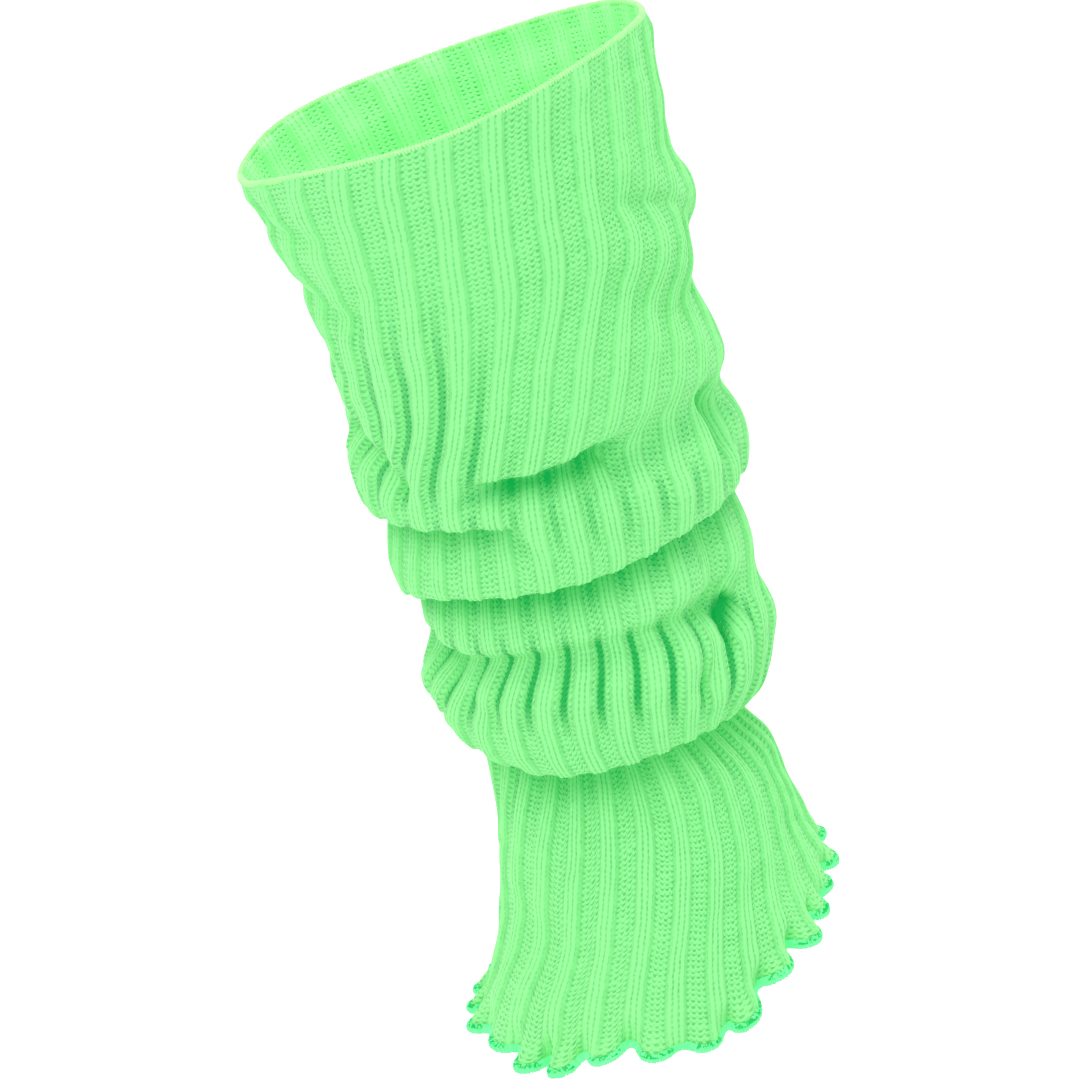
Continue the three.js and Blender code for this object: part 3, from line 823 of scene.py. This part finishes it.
KNIT_OUTSIDE = knit_material("Rib knit, outside", 0.0, KNIT_LIGHT, GLOW_LIGHT)
KNIT_INSIDE = knit_material("Rib knit, inside", 1.0, INSIDE_PAINTED_LIGHTER, INSIDE_PAINTED_GLOW)
RIBS = rib_tree()
RIB_SIZES = dict(rib_rise=0.0013, inner_rise=0.0009, column_bulge=0.00035)
SECOND_LIP, LAST_LIP = 4, 6
STRETCHES = (
    dict(name="knit_calf", top="rim", bottom=SECOND_LIP, courses=98),
    dict(name="knit_roll", top=SECOND_LIP, bottom=LAST_LIP, courses=56),
    dict(name="knit_foot", top=LAST_LIP, bottom="hem", courses=52),
)
for row in STRETCHES:
    piece = build_stretch(row["name"], row["top"], row["bottom"], row["courses"])
    run_tree(piece, RIBS, outside=KNIT_OUTSIDE, inside=KNIT_INSIDE, **RIB_SIZES)
    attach(piece, "root")
    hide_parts("rib_tube")


# The cast-on rim
# The first row of stitches at the top, in the same yarn: a soft, slightly lumpy cord of loops that
# closes the cloth's edge. It is coloured paler than the ribs.
EDGE_SAMPLES = 4000
EDGE_LOOK_UP = 0.0015
CORE_POINTS = 10
CORE_SHARE = 0.92


def build_edge(name, line, sink, below_face, half_height, half_thickness, spacing):
    """A cord along an edge of the cloth, with a seat for each loop of yarn that goes round it. It says
    for each point how far across the cord it is, from -1 at the top to 1 at the bottom."""
    fine = math.tau * np.arange(EDGE_SAMPLES + 1) / EDGE_SAMPLES
    path = waved_cloth((line(fine) + sink)[None], fine, below_face)[0][0]
    lengths = np.concatenate([[0], np.cumsum(np.linalg.norm(np.diff(path, axis=0), axis=-1))])
    count = round(lengths[-1] / spacing)
    angle = np.interp(lengths[-1] * np.arange(count) / count, lengths, fine)
    down = (line(angle) + sink)[None]
    middle = waved_cloth(down, angle, below_face)[0][0]
    fall = unit(middle - waved_cloth(down - EDGE_LOOK_UP, angle, below_face)[0][0])
    edge_way = unit(np.roll(middle, -1, 0) - np.roll(middle, 1, 0))
    way_out = unit(np.cross(fall, edge_way))
    turn = math.tau * np.arange(CORE_POINTS) / CORE_POINTS
    core = (middle[:, None] + CORE_SHARE * half_height * np.cos(turn)[:, None] * fall[:, None]
            + CORE_SHARE * half_thickness * np.sin(turn)[:, None] * way_out[:, None])
    index = np.arange(count * CORE_POINTS).reshape(count, CORE_POINTS)
    ahead, beside = np.roll(index, -1, 0), np.roll(index, -1, 1)
    faces = np.stack([index, ahead, np.roll(ahead, -1, 1), beside], axis=-1).reshape(-1, 4)
    mesh = bpy.data.meshes.new(name)
    mesh.from_pydata(np.concatenate([core.reshape(-1, 3), middle]).tolist(), [], faces.tolist())
    lobe = np.cos(lettuce_wave(angle)[0])
    numbers = dict(lobe=(np.repeat(lobe, CORE_POINTS), lobe),
                   seat=(np.zeros(index.size), np.ones(count)),
                   across=(np.tile(np.cos(turn), count), np.zeros(count)),
                   shade=(np.zeros(index.size), np.zeros(count)))
    for label, parts in numbers.items():
        keep_on_points(mesh, label, np.concatenate(parts))
    for label, ways in (("edge_way", edge_way), ("fall", fall)):
        keep_on_points(mesh, label, np.concatenate([np.repeat(ways, CORE_POINTS, axis=0), ways]))
    mesh.shade_smooth()
    return put_in_scene(name, mesh)


LOOP_POINTS, LOOP_SIDES = 10, 5
LOOP_SIZES = (0.94, 1.05)


def loop_tree():
    """Puts a loop of yarn round the cord at each seat, each a little different in size and tilt."""
    tree, given, result = new_tree("Wrap an edge", {
        "Half height": "Float", "Half thickness": "Float", "Yarn": "Float", "Tilt": "Float",
        "Seed": "Int", "Finish": "Material"})
    node = functools.partial(add_node, tree)

    def store(geometry, label, domain, value):
        stored = node("GeometryNodeStoreNamedAttribute",
                      {"Geometry": geometry, "Name": label, "Value": value}, domain=domain)
        return stored.outputs["Geometry"]

    def chance(low, high, kind="FLOAT"):
        least, most, out = {"FLOAT": (2, 3, 1), "FLOAT_VECTOR": (0, 1, 0)}[kind]
        ends = {least: low, most: high, "Seed": given["Seed"]}
        return node("FunctionNodeRandomValue", ends, data_type=kind).outputs[out]

    ring = node("GeometryNodeCurvePrimitiveCircle", {"Resolution": LOOP_POINTS, "Radius": 1.0})
    size = node("ShaderNodeCombineXYZ",
                {"X": given["Half height"], "Y": given["Half thickness"], "Z": 1.0})
    oval = node("GeometryNodeTransform",
                {"Geometry": ring.outputs["Curve"], "Scale": size.outputs["Vector"]})
    section = node("GeometryNodeCurvePrimitiveCircle",
                   {"Resolution": LOOP_SIDES, "Radius": given["Yarn"]})
    yarn = node("GeometryNodeCurveToMesh",
                {"Curve": oval.outputs["Geometry"], "Profile Curve": section.outputs["Curve"]})
    place = parts_of(tree, node("GeometryNodeInputPosition").outputs[0])
    across = calc(tree, "DIVIDE", place["X"], given["Half height"])
    loop = store(yarn.outputs["Mesh"], "across", "POINT", across)

    at_seat = calc(tree, "GREATER_THAN", on_points(tree, "seat"), 0.5)
    seats = node("GeometryNodeSeparateGeometry", {"Geometry": given["Geometry"], "Selection": at_seat})
    edge_way, fall = (on_points(tree, label, "FLOAT_VECTOR") for label in ("edge_way", "fall"))
    upright = node("FunctionNodeAxesToRotation", {0: edge_way, 1: fall},
                   primary_axis="Z", secondary_axis="X")
    against = calc(tree, "MULTIPLY", given["Tilt"], -1.0)
    least, most = (node("ShaderNodeCombineXYZ", {"X": tilt, "Y": tilt}).outputs[0]
                   for tilt in (against, given["Tilt"]))
    lean = node("FunctionNodeEulerToRotation", {0: chance(least, most, "FLOAT_VECTOR")})
    turned = node("FunctionNodeRotateRotation", {0: upright.outputs[0], 1: lean.outputs[0]},
                  rotation_space="LOCAL")
    loops = node("GeometryNodeInstanceOnPoints",
                 {"Points": seats.outputs["Selection"], "Instance": loop, "Rotation": turned.outputs[0],
                  "Scale": chance(*LOOP_SIZES)})
    shaded = store(loops.outputs["Instances"], "shade", "INSTANCE", chance(0.0, 1.0))

    join = node("GeometryNodeJoinGeometry")
    tree.links.new(shaded, join.inputs[0])
    tree.links.new(seats.outputs["Inverted"], join.inputs[0])
    edge = node("GeometryNodeRealizeInstances", {"Geometry": join.outputs[0]})
    edge = node("GeometryNodeSetMaterial",
                {"Geometry": edge.outputs["Geometry"], "Material": given["Finish"]})
    tree.links.new(edge.outputs["Geometry"], result)
    return tree


# the cord's base colours and painted glow, each light and deep
RIM_COLOURS = ((0.33, 0.50, 0.26, 1), KNIT_DEEP), ((0.0, 0.76, 0.056, 1), GLOW_DEEP)
RIM_BUMP = 0.00025


def rim_material():
    material, tree, shader = yarn_material("Cast-on yarn")
    place = object_place(tree)
    patches, _ = noise(tree, place, 160.0, 3.0)
    fibres, _ = noise(tree, place, 2200.0, 3.0)
    # painted shade on the lower side of the cord, where it tucks against the cloth
    painted_shade_at_cloth = soft_step(tree, attribute(tree, "across"), 0.1, 1.0)
    depth = calc(tree, "MULTIPLY_ADD", soft_step(tree, patches, 0.45, 0.75), 0.22,
                 calc(tree, "MULTIPLY", painted_shade_at_cloth, 0.12))
    shade_yarn(tree, shader, depth, fibres, RIM_BUMP, *RIM_COLOURS)
    return material


EDGE_LOOPS = loop_tree()
RIM_SIZES = dict(half_height=0.0008, half_thickness=0.0008)
RIM_SINK, RIM_SPACING = 0.0001, 0.00112
rim = build_edge("knit_rim", rim_line, RIM_SINK, WALL / 2, spacing=RIM_SPACING, **RIM_SIZES)
run_tree(rim, EDGE_LOOPS, yarn=0.00036, tilt=0.22, seed=4, finish=rim_material(), **RIM_SIZES)
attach(rim, "root")
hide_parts("rib_tube")


# The lettuce hem
# A three-thread overlock seam over the raw lower edge, sewn while the rib is stretched, so the edge
# stands in waves. The thread is a deeper emerald green and its loops lie close together.
HEM_BASE = (0.18, 0.56, 0.27, 1), (0.006, 0.200, 0.055, 1)
# the thread's painted glow, light and deep
HEM_GLOW = (0.0, 0.92, 0.190, 1), (0.0, 0.72, 0.120, 1)
HEM_BUMP = 0.0002


def hem_material():
    material, tree, shader = yarn_material("Overlock thread")
    maths = functools.partial(calc, tree)
    place = object_place(tree)
    stipple, _ = noise(tree, place, 900.0, 2.0)
    patches, _ = noise(tree, place, 120.0, 2.0)
    fibres, _ = noise(tree, place, 2600.0, 3.0)
    # dark stitch holes along the top, where the needle thread pulls the seam open on the waves
    opened = maths("MULTIPLY", soft_step(tree, attribute(tree, "across"), 0.35, -0.3),
                   soft_step(tree, attribute(tree, "lobe"), -0.3, 0.3))
    holes = maths("MULTIPLY", soft_step(tree, stipple, 0.42, 0.54), opened)
    shadow = maths("MULTIPLY", soft_step(tree, patches, 0.45, 0.70), 0.22)
    thread = maths("MULTIPLY", attribute(tree, "shade"), 0.16)
    depth = maths("MAXIMUM", maths("ADD", shadow, thread), holes)
    shade_yarn(tree, shader, depth, fibres, HEM_BUMP, HEM_BASE, HEM_GLOW)
    return material


HEM_SIZES = dict(half_height=0.0014, half_thickness=0.0012)
HEM_SINK, HEM_SPACING = 0.0009, 0.00062
HEM_BELOW_FACE = WALL / 2 - 0.0003
hem = build_edge("lettuce_edge", hem_line, HEM_SINK, HEM_BELOW_FACE, spacing=HEM_SPACING, **HEM_SIZES)
run_tree(hem, EDGE_LOOPS, yarn=0.00030, tilt=0.14, seed=11, finish=hem_material(), **HEM_SIZES)
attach(hem, "root")
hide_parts("lettuce_hem")


# Stage: a pale floor well below, with a wide sweep behind it, and soft light from above and in front
FLOOR_HEIGHT = -0.42
STAGE_HALF_WIDTH, STAGE_FRONT, SWEEP_START, SWEEP_RADIUS, STAGE_TOP = 6.0, -3.0, 1.5, 1.0, 4.0
SWEEP_STEPS = 12
profile = [(STAGE_FRONT, FLOOR_HEIGHT), (SWEEP_START, FLOOR_HEIGHT)]
for step in range(1, SWEEP_STEPS + 1):
    turn_up = math.pi / 2 * step / SWEEP_STEPS
    profile.append((SWEEP_START + SWEEP_RADIUS * math.sin(turn_up),
                    FLOOR_HEIGHT + SWEEP_RADIUS * (1 - math.cos(turn_up))))
profile.append((SWEEP_START + SWEEP_RADIUS, STAGE_TOP))
stage_points = [(side * STAGE_HALF_WIDTH, y, z) for y, z in profile for side in (-1, 1)]
stage_faces = [(2 * k, 2 * k + 1, 2 * k + 3, 2 * k + 2) for k in range(len(profile) - 1)]
stage_mesh = bpy.data.meshes.new("stage")
stage_mesh.from_pydata(stage_points, [], stage_faces)
stage_mesh.shade_smooth()
stage = put_in_scene("stage", stage_mesh)
paper = bpy.data.materials.new("Pale paper")
paper.use_nodes = True
paper_shader = paper.node_tree.nodes["Principled BSDF"]
paper_shader.inputs["Base Color"].default_value = (0.98, 0.98, 0.97, 1)
paper_shader.inputs["Roughness"].default_value = 0.9
stage_mesh.materials.append(paper)

world = bpy.data.worlds.new("Soft studio")
bpy.context.scene.world = world
world.use_nodes = True
background = world.node_tree.nodes["Background"]
background.inputs["Color"].default_value = (1, 1, 1, 1)
background.inputs["Strength"].default_value = 1.15
LAMPS_AIM = Vector((0.01, 0, -0.08))
LAMPS = (
    dict(name="key", place=(-0.9, -1.8, 1.7), size=1.6, power=32),
    dict(name="top", place=(0.2, 0.0, 2.2), size=1.6, power=34),
)
for row in LAMPS:
    lamp = bpy.data.lights.new(row["name"], "AREA")
    lamp.size = row["size"]
    lamp.energy = row["power"]
    holder = put_in_scene(row["name"], lamp)
    holder.location = row["place"]
    holder.rotation_euler = (LAMPS_AIM - holder.location).to_track_quat("-Z", "Y").to_euler()

# Camera at the photograph's angle: 12 degrees above, with 340 mm across the frame at 1.6 m
CAMERA_DISTANCE = 1.6
CAMERA_RISE = math.radians(12)
FRAME_WIDTH = 0.3402
LOOK_AT = Vector((0.0129, 0, -0.0857))
camera_data = bpy.data.cameras.new("camera")
camera_data.sensor_width = 36
camera_data.lens = camera_data.sensor_width * CAMERA_DISTANCE / FRAME_WIDTH
camera = put_in_scene("camera", camera_data)
back = Vector((0, -math.cos(CAMERA_RISE), math.sin(CAMERA_RISE)))
camera.location = LOOK_AT + back * CAMERA_DISTANCE
camera.rotation_euler = (-back).to_track_quat("-Z", "Y").to_euler()
bpy.context.scene.camera = camera
bpy.context.scene.view_settings.view_transform = "Standard"
